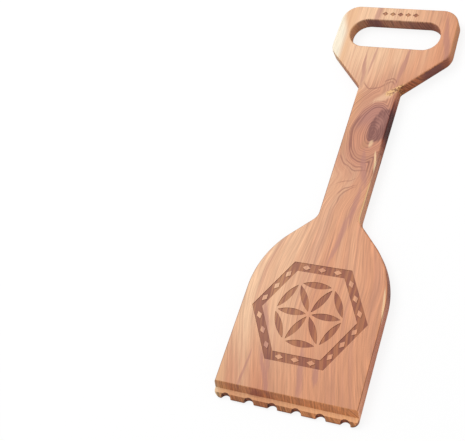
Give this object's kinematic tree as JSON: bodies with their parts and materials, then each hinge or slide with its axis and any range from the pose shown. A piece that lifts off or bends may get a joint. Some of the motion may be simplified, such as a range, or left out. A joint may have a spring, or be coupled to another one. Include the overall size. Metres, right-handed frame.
{
  "type": "grill scraper",
  "caption": "Paddle-shaped cedar grill scraper with a hand slot, a narrow neck and a wide blade with a stepped, notched end and burnt ornaments.",
  "frame": {"origin": "on the surface that the scraper lies on, below the middle of its length and width", "axes": "+Y along the board from the teeth to the head, +Z out of the front face, +X to the right as seen from the front with the head up"},
  "size_m": [0.1368, 0.43, 0.0135],
  "materials": {
    "cedar": "oiled, sanded smooth, with darker burnt ornaments"
  },
  "bodies": {
    "root": {"scraper": "cedar"}
  },
  "joints": []
}
